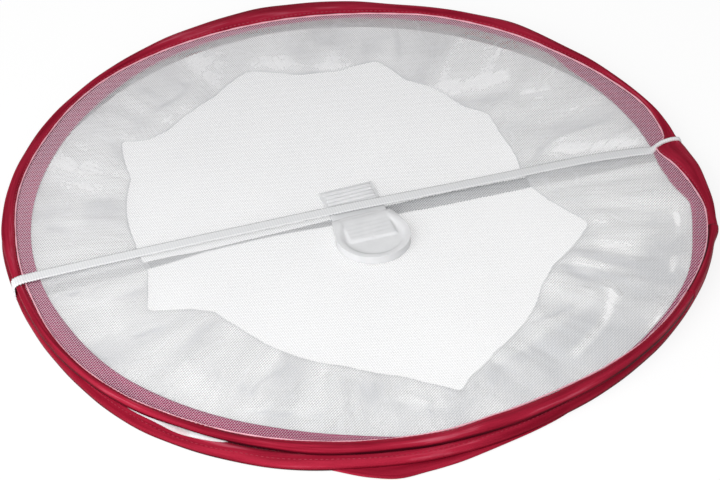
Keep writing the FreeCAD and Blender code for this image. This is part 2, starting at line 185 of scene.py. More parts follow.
# %% Cut a grid and lay it
set_mode = bpy.ops.object.mode_set


def start_from(primitive, name, **settings):
    """Add a plain primitive, with nothing else selected, and name it."""
    bpy.ops.object.select_all(action="DESELECT")
    primitive(**settings)
    piece = bpy.context.object
    piece.name = piece.data.name = name
    return piece


def places_of(piece):
    """The points of a piece, as rows of x, y and z in millimetres."""
    spots = np.empty(len(piece.data.vertices) * 3, np.float32)
    piece.data.vertices.foreach_get("co", spots)
    return spots.reshape(-1, 3).astype(float) / MM


def reshape(piece, move):
    """Move every point of a piece by a rule on its places, in millimetres."""
    moved = np.column_stack(move(*places_of(piece).T)) * MM
    piece.data.vertices.foreach_set("co", moved.astype(np.float32).ravel())
    piece.data.update()


def apply_modifier(piece, kind, **settings):
    """Add one modifier with its settings, and keep its result as the mesh."""
    modifier = piece.modifiers.new(kind.lower(), kind)
    for name, value in settings.items():
        setattr(modifier, name, value)
    bpy.ops.object.modifier_apply(modifier=modifier.name)


def slice_at(place, facing):
    """In edit mode, cut every face along a plane through a place in millimetres."""
    bpy.ops.mesh.select_all(action="SELECT")
    bpy.ops.mesh.bisect(plane_co=[value * MM for value in place], plane_no=facing)


def count_faces(piece):
    """Print how many faces a piece has, and hand it on."""
    print(piece.name, "has", len(piece.data.polygons), "faces")
    return piece


def lay_cloth(name, columns, rows, flat, place, thickness=0.0):
    """A grid cut to flat, in millimetres, and laid by place(share along, share across)."""
    piece = start_from(bpy.ops.mesh.primitive_grid_add, name, size=1,
                       x_subdivisions=columns, y_subdivisions=rows)
    cut = piece.data.uv_layers.active
    cut.name = "cut"
    spots = np.empty(len(cut.data) * 2, np.float32)
    cut.data.foreach_get("uv", spots)
    spots = (spots.reshape(-1, 2) * np.array(flat, np.float32)).ravel()
    cut.data.foreach_set("uv", spots)
    reshape(piece, lambda x, y, z: place(x * MM + 0.5, y * MM + 0.5))
    set_mode(mode="EDIT")
    bpy.ops.mesh.select_all(action="SELECT")
    bpy.ops.mesh.remove_doubles(threshold=0.00001)
    bpy.ops.mesh.normals_make_consistent(inside=False)
    set_mode(mode="OBJECT")
    bpy.ops.object.shade_smooth()
    if thickness:
        apply_modifier(piece, "SOLIDIFY", thickness=thickness * MM, offset=-1)
    return count_faces(piece)


def paint(piece, name, values):
    """Keep a number at each point of a piece for its material."""
    painted = piece.data.attributes.new(name, "FLOAT", "POINT")
    painted.data.foreach_set("value", values.astype(np.float32))


def on_hoop(angle, radius, height):
    """Places round the hoops from an angle in degrees, a radius and a height."""
    turn = np.radians(angle)
    return radius * np.cos(turn), radius * np.sin(turn), height + 0 * turn


def soft_waves(angle, across, waves):
    """Uneven waves in cloth: (size, number round the hoop, slant, start in degrees)."""
    return sum(size * np.sin(np.radians(number * angle + slant * across + start))
               for size, number, slant, start in waves)


# %% [markdown]
# ## Materials, the shared part
#
# A colour is written as it would be on a screen, in hex, and turned to the linear numbers
# that Blender mixes. One helper adds a node with its settings and links, and the short
# ones after it name the nodes that every material needs.


# %% Colour and node helpers
def linear(hex_colour):
    """A screen colour as linear red, green, blue and alpha."""
    parts = [int(hex_colour[start:start + 2], 16) / 255 for start in (1, 3, 5)]
    return tuple(part / 12.92 if part <= 0.04045 else ((part + 0.055) / 1.055) ** 2.4
                 for part in parts) + (1.0,)


def new_material(name):
    material = bpy.data.materials.new(name)
    material.use_nodes = True
    material.node_tree.nodes.clear()
    return material


def add_node(material, kind, inputs=None, **settings):
    """Add a shader node. Each input is a value, or the output that is linked to it."""
    node = material.node_tree.nodes.new("ShaderNode" + kind)
    for name, value in settings.items():
        setattr(node, name, value)
    for name, value in (inputs or {}).items():
        if isinstance(value, bpy.types.NodeSocket):
            material.node_tree.links.new(value, node.inputs[name])
        else:
            node.inputs[name].default_value = value
    return node


def on_object(material):
    """The place on the object, in metres."""
    return add_node(material, "TexCoord").outputs["Object"]


def on_cut(material):
    """The place on the flat cut cloth, in millimetres."""
    return add_node(material, "UVMap", uv_map="cut").outputs["UV"]


def scaled(material, place, scale, turn=0.0):
    return add_node(material, "Mapping", {
        "Vector": place, "Scale": scale, "Rotation": (0, 0, turn)}).outputs["Vector"]


def noise(material, place, scale, detail, **more):
    return add_node(material, "TexNoise", {
        "Vector": place, "Scale": scale, "Detail": detail, **more}).outputs["Fac"]


def maths(material, operation, *inputs):
    return add_node(material, "Math", dict(enumerate(inputs)), operation=operation).outputs[0]


def from_to(material, level, start, end, low, high, way="LINEAR"):
    """Stretch a level that runs from start to end, so that it runs from low to high."""
    return add_node(material, "MapRange", {
        "Value": level, "From Min": start, "From Max": end, "To Min": low,
        "To Max": high}, interpolation_type=way).outputs["Result"]


def ramp(material, level, *stops):
    """A colour for each level, blended between (level, colour) stops in order."""
    node = add_node(material, "ValToRGB", {"Fac": level})
    ends = node.color_ramp.elements
    for end, (place, colour) in ((ends[0], stops[0]), (ends[1], stops[-1])):
        end.position = place
        end.color = linear(colour)
    for place, colour in stops[1:-1]:
        ends.new(place).color = linear(colour)
    return node.outputs["Color"]


def bump(material, level, strength, distance, **earlier):
    return add_node(material, "Bump", {"Height": level, "Strength": strength,
                                       "Distance": distance, **earlier}).outputs["Normal"]


def finish_material(material, shader):
    add_node(material, "OutputMaterial", {"Surface": shader})
    print("material", material.name, "with", len(material.node_tree.nodes), "nodes")
    return material


def shade(material, colour, inputs):
    """Finish a material with a colour and the shader's other inputs."""
    shader = add_node(material, "BsdfPrincipled", {"Base Color": colour, **inputs})
    return finish_material(material, shader.outputs["BSDF"])


def recolour(source, name, *colours):
    """A copy of a material whose colour ramp has other colours."""
    twin = source.copy()
    twin.name = name
    for node in twin.node_tree.nodes:
        if node.type == "VALTORGB":
            for stop, colour in zip(node.color_ramp.elements, colours):
                stop.color = linear(colour)
    print("material", twin.name, "from", source.name)
    return twin


def dress(piece, material, body=None, *nodes):
    """Give a piece its material, let it ride on a body, and let it stand for CAD nodes."""
    piece.data.materials.clear()
    piece.data.materials.append(material)
    if body:
        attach(piece, body)
    if nodes:
        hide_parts(*nodes)


# %% [markdown]
# ## Crimson tape
#
# The hoops are cased in polyester taffeta, a smooth plain weave with a low satin gleam.
# It was cut on the bias and folded over the wire, so soft creases run along it. The crease
# noise also sets the colour, and its lightest stop is a painted satin gleam on the crease
# tops. A band along the turned edge, where the tape bends under, is darkened as painted
# shade. The thread is about 0.25 mm thick, too fine for the picture, so the weave is drawn at
# 0.7 mm.

# %% Polyester taffeta tape
WEAVE = 0.7
TURNED_EDGE = 15.8

taffeta = new_material("polyester_taffeta_tape")
tape_cut = on_cut(taffeta)
crease_tone_and_gleam = noise(taffeta, scaled(taffeta, tape_cut, (0.018, 0.22, 1)), 1.0, 4.0,
                Roughness=0.55)
across_tape = add_node(taffeta, "SeparateXYZ", {0: tape_cut}).outputs["Y"]
off_turn = maths(taffeta, "ABSOLUTE", maths(taffeta, "SUBTRACT", across_tape, TURNED_EDGE))
# painted shade: the colour is darkened along the turned edge, where the tape bends under
turned_edge_shade = from_to(taffeta, off_turn, 0.6, 2.6, -0.42, 0, way="SMOOTHSTEP")
# the top stop of this ramp is a painted satin gleam; the others are the tape's own tone
tape_colour = ramp(taffeta, maths(taffeta, "ADD", crease_tone_and_gleam, turned_edge_shade),
                   (0.05, "#3C0612"), (0.35, "#7E0F24"), (0.6, "#A22138"), (0.76, "#BE5A6C"))
weave = add_node(taffeta, "TexChecker", {
    "Vector": scaled(taffeta, tape_cut, (1 / WEAVE, 1 / WEAVE, 1)), "Scale": 1.0})
crease_bump = bump(taffeta, crease_tone_and_gleam, 0.8, 0.0012)
shade(taffeta, tape_colour, {
    "Normal": bump(taffeta, weave.outputs["Fac"], 0.25, 0.0001, Normal=crease_bump),
    "Roughness": 0.5, "Specular IOR Level": 0.03})

# %% [markdown]
# ## Upper tape
#
# The upper hoop's tape starts inside the hoop, as a flat facing under the net, runs out
# below the wire, turns round it and comes back on top to the stitched edge. So it is one
# strip with a curved section. Where the white side wall shows between the hoops, in front
# on the left, its underside lifts. The facing gets a copy of the taffeta recoloured brighter
# and more purple, as painted light and shade for how it looks lit through the net.

# %% Lay the upper tape
opening = smooth_line([(0, 0), (207, 0), (212, 0.35), (215, 0.4), (220, 0.62), (225.5, 1.2),
                       (229.5, 0.9), (232, 0.45), (235, 0), (300, 0)], around=True)
upper_out = smooth_line([(0, 0), (0.26, 0), (0.33, 0.28), (0.43, 0.66), (0.51, 0.93),
                         (0.58, 1), (0.66, 0.93), (0.75, 0.66), (0.86, 0.28), (0.95, 0),
                         (1, 0.14)])
upper_rise = smooth_line([(0, 8.5), (0.2, 8.45), (0.28, 8.2), (0.35, 7.3), (0.43, 6.6),
                          (0.51, 7.1), (0.58, 8.9), (0.66, 10.6), (0.75, 11.3),
                          (0.86, 10.9), (0.95, 9.85), (1, 9.6)])
squeeze = smooth_line([(0, 1), (9, 0), (171, 0), (180, 1), (189, 0), (351, 0)], around=True)
UPPER_WIRE_HEIGHT = 9.2
OPENING_UP, OPENING_DOWN = 1.8, 1.4
TAPE_WAVES = [(0.16, 7, 90, 20), (0.12, 13, -140, 200), (0.10, 23, 200, 75),
              (0.05, 41, -60, 130)]


def upper_tape(along, across, outset=0.0):
    angle = 360 * along
    inner = upper_inner_edge(angle)
    width = upper_outer_edge(angle) - inner
    facing = np.maximum(inner - facing_edge(angle), 0.4)
    inwards = np.clip(1 - across / 0.24, 0, 1)
    share = upper_out(across)
    radius = inner - inwards * facing + share * width
    height = upper_rise(across)
    under = np.exp(-((across - 0.44) / 0.1) ** 2)
    height += OPENING_UP * opening(angle) * under
    crease_at = 0.72 + 0.03 * np.sin(np.radians(5 * angle + 40))
    crease = np.exp(-((across - crease_at) / 0.018) ** 2)
    height -= 0.45 * crease * (0.6 + 0.4 * np.sin(np.radians(3 * angle)))
    height -= 1.0 * squeeze(angle) * np.clip((height - 8.6) / 2, 0, 1)
    loose = np.clip((across - 0.25) / 0.1, 0, 1)
    ripple = loose * soft_waves(angle, across, TAPE_WAVES)
    middle_radius, middle_height = inner + 0.6 * width, UPPER_WIRE_HEIGHT
    grown = 1 + (outset + ripple) / 2.6
    radius = np.where(loose > 0, middle_radius + (radius - middle_radius) * grown, radius)
    height = np.where(loose > 0, middle_height + (height - middle_height) * grown, height)
    return on_hoop(angle, radius, height)


upper_binding = lay_cloth("upper_tape", 480, 40, (1080, 30), upper_tape, 0.35)
dress(upper_binding, taffeta, "upper_hoop", "upper_binding")
FACING_CUT = 6.8
# painted light and shade: the facing's taffeta is recoloured brighter and more purple
facing_painted_light = recolour(taffeta, "polyester_taffeta_facing_painted_light", "#6E0E3A", "#86124A",
                        "#9C1854", "#B22C66")
upper_binding.data.materials.append(facing_painted_light)
cut_places = upper_binding.data.uv_layers["cut"].data
for face in upper_binding.data.polygons:
    if cut_places[face.loop_start].uv.y < FACING_CUT:
        face.material_index = 1
print("faces in one layer:", sum(face.material_index for face in upper_binding.data.polygons))

# %% [markdown]
# ## Seams
#
# Along the upper tape's inner edge the net's overlocked edge shows as a pale line: a fine
# thread ring pressed into the tape's own line. Both tapes also have a row of running
# stitches. One stitch is a small ball drawn long, repeated by an array along a straight
# line, and the line is then bent round the hoop and laid on the tape's surface.

# %% Spun polyester thread
# Sewing thread: soft, slightly fuzzy, with a twist
pale_thread = new_material("spun_polyester_thread_pale")
twist = noise(pale_thread, on_object(pale_thread), 1600.0, 2.0)
shade(pale_thread, ramp(pale_thread, twist, (0, "#D98A9D"), (1, "#F5C3CE")), {
    "Roughness": 0.7})
crimson_thread = recolour(pale_thread, "spun_polyester_thread_crimson", "#7E0F24", "#AA2440")


# %% Sew the seams
PLAIN_RADIUS = 176
STITCH_PITCH = 2.4
TAPE_ROUND = 26


def pressed_ring(name, segments, sides, thick, line, height, beads=0.0):
    """A plain ring pressed into a line round the hoop, beaded where it is thread."""
    ring = start_from(bpy.ops.mesh.primitive_torus_add, name, major_segments=segments,
                      minor_segments=sides, major_radius=PLAIN_RADIUS * MM,
                      minor_radius=thick * MM)

    def press(x, y, z):
        angle = np.degrees(np.arctan2(y, x))
        swell = 1 + beads * np.sin(np.radians(180 * angle))
        off = (np.hypot(x, y) - PLAIN_RADIUS) * swell
        return on_hoop(angle, line(angle) + off, height + z * swell)

    reshape(ring, press)
    bpy.ops.object.shade_smooth()
    return count_faces(ring)


overlock = pressed_ring("overlock_seam", 720, 6, 0.42,
                        lambda angle: upper_inner_edge(angle) - 0.3, 9.9, beads=0.25)
dress(overlock, pale_thread, "upper_hoop")


def sew_row(name, tape, at, stitches):
    """A row of stitches on a tape, at a share of the way across it."""
    row = start_from(bpy.ops.mesh.primitive_uv_sphere_add, name, segments=8,
                     ring_count=5, radius=1)
    row.scale = (0.85 * MM, 0.2 * MM, 0.2 * MM)
    bpy.ops.object.transform_apply(location=True, rotation=True, scale=True)
    apply_modifier(row, "ARRAY", count=stitches, use_relative_offset=False,
                   use_constant_offset=True,
                   constant_offset_displace=(STITCH_PITCH * MM, 0, 0))

    def bend(x, y, z):
        along = x / (STITCH_PITCH * stitches)
        here = tape(along, at + y / TAPE_ROUND)
        near = tape(along, at + y / TAPE_ROUND + 0.004)
        rise, out = near[2] - here[2], np.hypot(*near[:2]) - np.hypot(*here[:2])
        off = z / np.hypot(rise, out)
        return on_hoop(360 * along, np.hypot(*here[:2]) + rise * off, here[2] - out * off)

    reshape(row, bend)
    bpy.ops.object.shade_smooth()
    return count_faces(row)


upper_row = sew_row("upper_stitches", upper_tape, 0.9, 450)
dress(upper_row, crimson_thread, "upper_hoop")

# %% [markdown]
# ## Lower tape
#
# The lower hoop's tape leans outwards, since the wire pushes it and the packet's weight
# lies on its inner side. It is a taller loop than the upper one and needs no facing.

# %% Lay the lower tape
lower_in = smooth_line([(0, 8.6), (0.08, 8.2), (0.22, 6.2), (0.36, 3.4), (0.46, 1.4),
                        (0.54, 0.05), (0.62, 0.3), (0.71, 2.2), (0.84, 5.5), (0.94, 8),
                        (1, 8.5)])
lower_rise = smooth_line([(0, 4.6), (0.08, 5.2), (0.22, 6.2), (0.36, 6.5), (0.46, 5.6),
                          (0.54, 3.6), (0.62, 1.3), (0.71, 0.2), (0.84, 0.5), (0.94, 1.3),
                          (1, 2.0)])


def lower_tape(along, across):
    angle = 360 * along
    radius = lower_outer_edge(angle) - lower_in(across)
    height = lower_rise(across)
    over = np.exp(-((across - 0.36) / 0.14) ** 2)
    height -= (OPENING_DOWN * opening(angle) + 0.7 * squeeze(angle)) * over
    crease = np.exp(-((across - 0.49) / 0.02) ** 2)
    radius -= 0.4 * crease * (0.5 + 0.5 * np.sin(np.radians(4 * angle + 200)))
    ripple = soft_waves(angle, across, TAPE_WAVES[1:]) + 0.16 * np.sin(np.radians(9 * angle))
    radius += 0.8 * ripple * (1 - over)
    height = np.maximum(height + 0.6 * ripple * over, 0.05 + 0.75 * squeeze(angle))
    return on_hoop(angle, radius, height)


lower_binding = lay_cloth("lower_tape", 480, 32, (1100, 24), lower_tape, 0.35)
dress(lower_binding, taffeta, "lower_hoop", "lower_binding")
lower_row = sew_row("lower_stitches", lower_tape, 0.42, 458)
dress(lower_row, crimson_thread, "lower_hoop")

# %% [markdown]
# ## The tape's loose end and its lap
#
# The lower tape's end isn't tucked in. It lies out on the table in front as a flap with
# one blunt corner, doubled over along its outer side. The upper tape's end is lapped
# neatly over its start, so it repeats the tape's own section, 0.3 mm outside it.

# %% Lay the loose end
flap_reach = smooth_line([(243, 177), (248, 180), (254, 185.2), (257.5, 186.8),
                          (262, 184.2), (267, 181.4), (271, 178.8), (275, 176.8),
                          (280, 175.2), (285, 173.6), (292, 170.5)])
FLAP_ROOT = 169
FLAP_SHARES = [0, 0.45, 0.5, 0.55, 1]


def loose_end(along, across):
    angle = 243 + 49 * along
    fold = np.clip((across - 0.45) / 0.1, 0, 1)
    out = np.interp(across, FLAP_SHARES, [0, 0.96, 1, 0.96, 0.1])
    radius = FLAP_ROOT + out * (flap_reach(angle) - FLAP_ROOT)
    height = np.interp(across, FLAP_SHARES, [2.0, 1.5, 0.95, 0.45, 0.4])
    height += 0.25 * np.sin(np.radians(9 * angle)) * (1 - fold)
    return on_hoop(angle, radius, height)


tail = lay_cloth("loose_tape_end", 96, 16, (150, 26), loose_end, 0.3)
dress(tail, taffeta, "lower_hoop", "lower_binding_tail")


# %% Lay the upper lap
def lapped_end(along, across):
    return upper_tape((318.5 + 17.5 * along) / 360, 0.36 + 0.56 * across, outset=0.3)


lap = lay_cloth("upper_tape_lap", 40, 24, (55, 16), lapped_end, 0.25)
dress(lap, taffeta, "upper_hoop", "upper_binding_lap")

# %% [markdown]
# ## Spring wires and their sleeves
#
# Each hoop is a spring steel wire, 2 mm thick, its ends pushed into a short crimped tube.
# A torus at the wire's size is pressed into the hoop's own oval. The tube is an open
# cylinder, cut across by several planes so that it can bend, with three crimps.

# %% Spring steel
spring_steel = new_material("drawn_spring_steel")
drawn = noise(spring_steel, on_object(spring_steel), 900.0, 3.0)
steel_colour = ramp(spring_steel, drawn, (0, "#8E9094"), (1, "#B9BBBE"))
shade(spring_steel, steel_colour, {
    "Roughness": from_to(spring_steel, drawn, 0, 1, 0.25, 0.45), "Metallic": 1.0})


# %% Press rings into hoops
WIRE_THICK = 1
LOWER_WIRE_HEIGHT = 3.0


def upper_wire_line(angle):
    """The wire lies in the tape's outer half, or in its middle where the tape is narrow."""
    inner = upper_inner_edge(angle)
    width = upper_outer_edge(angle) - inner
    return inner + np.interp(width, [3.5, 6.5], [0.46, 0.62]) * width


def lower_wire_line(angle):
    return lower_outer_edge(angle) - 2.6


# For each hoop, its wire's line and height, and the angle where its sleeve starts
HOOPS = {"upper": (upper_wire_line, UPPER_WIRE_HEIGHT, 325),
         "lower": (lower_wire_line, LOWER_WIRE_HEIGHT, 205)}
for hoop, (line, height, _) in HOOPS.items():
    wire = pressed_ring(hoop + "_wire", 240, 12, WIRE_THICK, line, height)
    dress(wire, spring_steel, hoop + "_hoop", hoop + "_hoop_wire")


# %% Crimp a sleeve and bend it on
SLEEVE_LONG = 20


def make_sleeve(name, line, height, start):
    sleeve = start_from(bpy.ops.mesh.primitive_cylinder_add, name, vertices=16,
                        radius=1.35 * MM, depth=SLEEVE_LONG * MM, end_fill_type="NOTHING")
    set_mode(mode="EDIT")
    for cut in range(1 - SLEEVE_LONG // 2, SLEEVE_LONG // 2):
        slice_at((0, 0, cut), (0, 0, 1))
    set_mode(mode="OBJECT")

    def bend(x, y, z):
        pinch = 1 - 0.1 * sum(np.exp(-((z - at) / 1.1) ** 2) for at in (-6, 0, 6))
        angle = start + np.degrees((z + SLEEVE_LONG / 2) / PLAIN_RADIUS)
        return on_hoop(angle, line(angle) + x * pinch, y * pinch + height)

    reshape(sleeve, bend)
    apply_modifier(sleeve, "SOLIDIFY", thickness=0.22 * MM)
    bpy.ops.object.shade_smooth_by_angle(angle=math.radians(50))
    return count_faces(sleeve)


for hoop, (line, height, start) in HOOPS.items():
    sleeve = make_sleeve(hoop + "_sleeve", line, height, start)
    dress(sleeve, spring_steel, hoop + "_hoop", hoop + "_hoop_sleeve")

# %% [markdown]
# ## White tulle
#
# The lid is polyester tulle, a knitted net of six-sided gaps about 1 mm across. Three sets
# of even waves, 60 degrees apart, add up to such a net: high in the gaps and low along
# the threads. At 1 mm the gaps would blur in the picture, so they are drawn at 1.25 mm.
# One set is stronger, as in a warp knit, and the net is stretched more in front, so that
# its threads lie thinner there; the same front-to-back level also makes the threads'
# colour darker towards the back, as painted shade. Where it is pulled over the facing they
# are thinner still, and their colour is mixed towards pink, as painted light bounced from
# the crimson below.

# %% Tulle material
GAP_PITCH = 1.25

tulle = new_material("knitted_tulle_net")
tulle_place = on_object(tulle)
turns_per_metre = 2 * math.pi / (GAP_PITCH * math.sqrt(3) / 2 * MM)
waves = []
for heading in (math.radians(8), math.radians(68), math.radians(128)):
    direction = (math.cos(heading) * turns_per_metre, math.sin(heading) * turns_per_metre, 0)
    way = add_node(tulle, "VectorMath", {0: tulle_place, 1: direction}, operation="DOT_PRODUCT")
    waves.append(maths(tulle, "COSINE", way.outputs["Value"]))
net_level = maths(tulle, "ADD", waves[0], waves[1])
net_level = maths(tulle, "MULTIPLY_ADD", waves[2], 1.3, net_level)
front_to_back = add_node(tulle, "SeparateXYZ", {0: tulle_place}).outputs["Y"]
stretch_and_back_shade = from_to(tulle, front_to_back, -0.15, 0.15, 0.4, -0.2)
net_level = maths(tulle, "ADD", net_level, stretch_and_back_shade)
over_tape = add_node(tulle, "Attribute", attribute_name="over_tape").outputs["Fac"]
net_level = maths(tulle, "MULTIPLY_ADD", over_tape, 0.35, net_level)
net_alpha = from_to(tulle, net_level, -0.9, 0.2, 0.95, 0.02, way="SMOOTHSTEP")
cloudy = noise(tulle, tulle_place, 18.0, 3.0)
# painted shade: the threads' colour is darker towards the back
tulle_colour = ramp(tulle, maths(tulle, "MULTIPLY_ADD", cloudy, 0.4, stretch_and_back_shade),
                    (0, "#D9D9DC"), (0.6, "#F6F6F7"))
# painted light: over the facing the white threads are tinted pink, as light bounced from the
# red tape
crimson_bounce_tint = add_node(tulle, "Mix", {
    0: over_tape, 6: tulle_colour, 7: linear("#EACAD7")}, data_type="RGBA")
shade(tulle, crimson_bounce_tint.outputs[2], {
    "Alpha": net_alpha, "Roughness": 0.6, "Specular IOR Level": 0.2})


# %% Stretch the net over the upper hoop
LID_ROWS = 40
FACING_ROW = LID_ROWS - 2


def stretched_net(along, across):
    """Rows of net up to the facing's edge, then one just on the tape and one at the seam."""
    angle = 360 * along
    edge = upper_inner_edge(angle) + 0.9
    facing = np.minimum(facing_edge(angle), edge - 1)
    row = np.rint(across * LID_ROWS)
    radius = np.where(row <= FACING_ROW, facing * across * LID_ROWS / FACING_ROW,
                      facing + 0.4)
    radius = np.where(row == LID_ROWS, edge, radius)
    height = 9.35 - 0.45 * (1 - across ** 2) + soft_waves(
        angle, across, [(0.06, 5, 200, 0), (0.05, 9, -300, 60)]) * across
    return on_hoop(angle, radius, height)


tulle_lid = lay_cloth("tulle_lid", 240, LID_ROWS, (344, 344), stretched_net)
x, y, z = places_of(tulle_lid).T
on_tape = np.hypot(x, y) > facing_edge(np.degrees(np.arctan2(y, x))) + 0.2
paint(tulle_lid, "over_tape", on_tape)
dress(tulle_lid, tulle, "upper_hoop", "top_net")

# %% [markdown]
# ## The sheer side wall
#
# The wall is softer and finer than the lid. Folded in, it goes in over the lower hoop,
# turns back at a crooked line and comes out under the upper hoop. That line has sharp
# corners where the cloth is held and slack bows between them, so its marks are joined by
# straight runs, only lightly rounded. Small pleats run from the hoops to the fold. The
# layers above and below the fold keep apart in height.

# %% Sheer knit
sheer = new_material("sheer_polyester_knit")
sheer_cut = on_cut(sheer)
grain = noise(sheer, scaled(sheer, sheer_cut, (0.9, 0.45, 1)), 1.0, 2.0)
drift = noise(sheer, scaled(sheer, sheer_cut, (0.05, 0.014, 1)), 1.0, 2.5, Roughness=0.4)
wander = noise(sheer, scaled(sheer, sheer_cut, (0.035, 0.02, 1), turn=0.5), 1.0, 2.5,
               Distortion=0.8)
off_line = maths(sheer, "ABSOLUTE", maths(sheer, "SUBTRACT", wander, 0.5))
wrinkle = from_to(sheer, off_line, 0, 0.03, 0.28, 0, way="SMOOTHSTEP")
thickness = maths(sheer, "MULTIPLY_ADD", grain, 0.4, wrinkle)
thickness = maths(sheer, "MULTIPLY_ADD", drift, 1.3, thickness)
# the painted attribute holds doubled cloth together with painted shade and painted glints
layers_and_light = add_node(sheer, "Attribute", attribute_name="cloth_layers_and_light").outputs["Fac"]
thickness = maths(sheer, "MULTIPLY_ADD", layers_and_light, 0.55, thickness)
sheer_colour = ramp(sheer, from_to(sheer, thickness, 0.7, 1.6, 0, 1),
                    (0.1, "#FFFFFF"), (0.9, "#D0D2D6"))
shade(sheer, sheer_colour, {
    "Alpha": from_to(sheer, thickness, 0.4, 1.45, 0.02, 0.88),
    "Normal": bump(sheer, grain, 0.3, 0.0003), "Roughness": 0.55, "Sheen Weight": 0.3})

# %% Fold the wall in
FOLD_MARKS = [
    (5, 90.6), (24, 99.8), (33, 108.6), (40, 106.4), (52, 115.5), (59, 118), (67, 133.2),
    (76, 123.8), (86, 124.4), (96, 137.1), (108, 125.6), (124, 120.9), (130, 125),
    (133, 136.2), (145, 117.7), (159, 113.6), (171, 109.6), (184, 108.5), (192, 115.4),
    (197, 121.8), (203, 104.6), (208, 98.3), (218, 99.9), (229, 105), (240, 109.9),
    (250, 113), (262, 122.4), (269, 133), (272, 140.8), (275, 133.1), (284, 122.6),
    (300, 112.6), (310, 105.2), (319, 103.7), (330, 110.2), (338, 115.2), (342, 107.2),
    (348, 96.8), (355, 91.2)]
mark_angles, mark_depths = (np.array(column) for column in zip(*FOLD_MARKS))


def fold_line(angle):
    """The wall's inner fold, straight between marks, averaged over two degrees."""
    near = [np.interp(angle + shift, mark_angles, mark_depths, period=360)
            for shift in (-1.0, -0.5, 0.0, 0.5, 1.0)]
    return sum(near) / len(near)


# %% [markdown]
# Where the slack cloth doubles over itself it turns greyer and more solid, which also
# stands as painted shade in its folds. The white streaks are painted glints: there the cloth
# is made whiter and more see-through, to stand for light it catches. These creases and
# glints are placed by where they lie in the picture. Each is a run from one place to another
# with a width in pixels and an amount: above 0 for doubled cloth and painted shade, below 0
# for a painted glint.

# %% Creases, painted shade and painted glints in the wall
CREASES_AND_GLINTS = [
    (566, 249, 640, 262, 14, 0.7), (640, 262, 690, 280, 22, 0.6),
    (572, 258, 608, 267, 7, -1.4), (563, 262, 582, 277, 7, 0.7), (582, 277, 625, 277, 8, 0.6),
    (606, 280, 619, 294, 7, -1.4), (614, 292, 603, 322, 6, -1.4),
    (603, 322, 572, 356, 5, -1.2), (580, 286, 595, 294, 4, -0.8),
    (552, 270, 565, 300, 22, -0.2), (530, 322, 574, 306, 3, 0.7),
    (497, 360, 590, 298, 6, -0.5), (675, 205, 679, 226, 4, -1.3),
    (674, 255, 672, 272, 4, -1.3), (662, 305, 650, 330, 4, -1.3),
    (595, 236, 640, 236, 6, -0.7), (600, 246, 636, 248, 14, -0.4),
    (585, 191, 652, 203, 4, -0.8), (575, 200, 640, 190, 3, 0.5),
    (596, 215, 606, 216, 4, -0.8), (610, 218, 680, 216, 20, 0.3),
    (500, 392, 655, 300, 44, 0.7), (650, 300, 672, 225, 26, 0.6),
    (440, 85, 510, 72, 18, -0.8), (520, 88, 552, 86, 12, -0.5), (455, 101, 560, 93, 4, 0.7),
    (505, 108, 530, 100, 3, 0.8), (530, 158, 560, 134, 4, 0.7), (560, 134, 606, 122, 4, 0.6),
    (550, 146, 640, 138, 16, -0.6), (500, 110, 590, 105, 22, -0.25),
    (385, 66, 432, 74, 12, 0.25), (250, 60, 355, 62, 10, -0.5), (310, 36, 350, 38, 22, 0.35),
    (256, 42, 300, 40, 22, -0.15), (204, 56, 226, 44, 3, 0.6), (130, 90, 190, 72, 34, 0.35),
    (132, 122, 140, 136, 3, 0.8), (138, 118, 146, 136, 3, 0.8), (150, 112, 186, 92, 4, 0.7),
    (196, 74, 220, 90, 3, 0.7), (190, 82, 214, 97, 3, 0.6), (156, 118, 190, 104, 12, -0.3),
    (84, 212, 122, 208, 24, 0.7), (98, 180, 118, 150, 12, 0.25), (78, 150, 88, 232, 44, -0.3),
    (72, 296, 79, 290, 4, 0.9), (100, 292, 122, 332, 14, -0.25),
    (96, 276, 140, 272, 12, 0.45), (134, 337, 166, 326, 3, 0.7), (182, 350, 214, 318, 5, 0.6),
    (226, 330, 206, 350, 18, 0.4), (208, 356, 222, 384, 10, 0.5),
    (176, 380, 200, 360, 20, -0.3), (240, 392, 300, 366, 18, 0.5),
    (232, 404, 318, 404, 9, -0.4), (260, 414, 330, 416, 3, 0.5),
    (330, 384, 400, 392, 14, 0.35), (380, 392, 440, 400, 8, -0.5),
    (380, 404, 470, 416, 10, 0.35), (480, 376, 520, 350, 8, 0.3),
    (90, 345, 130, 372, 20, 0.35)]


def creases_and_glints_at(x, y, height=7.5):
    """How far the wall is doubled or painted shaded, above 0, or lit by a painted glint, below
    0.
    """
    total = 0 * x
    for across, down, to_across, to_down, wide, amount in CREASES_AND_GLINTS:
        start = np.array(seen_at(across, down, height))
        end = np.array(seen_at(to_across, to_down, height))
        middle, reach = (start + end) / 2, (end - start) / 2
        half_long = float(np.hypot(*reach))
        way = reach / half_long
        half_wide = 0.31 * wide * (1 + 0.5 * abs(way[0]))
        along = ((x - middle[0]) * way[0] + (y - middle[1]) * way[1]) / (half_long + 0.6)
        aside = ((y - middle[1]) * way[0] - (x - middle[0]) * way[1]) / half_wide
        total += amount * np.exp(-along ** 8 - aside ** 4)
    return total


print("creases in the wall:", len(CREASES_AND_GLINTS))

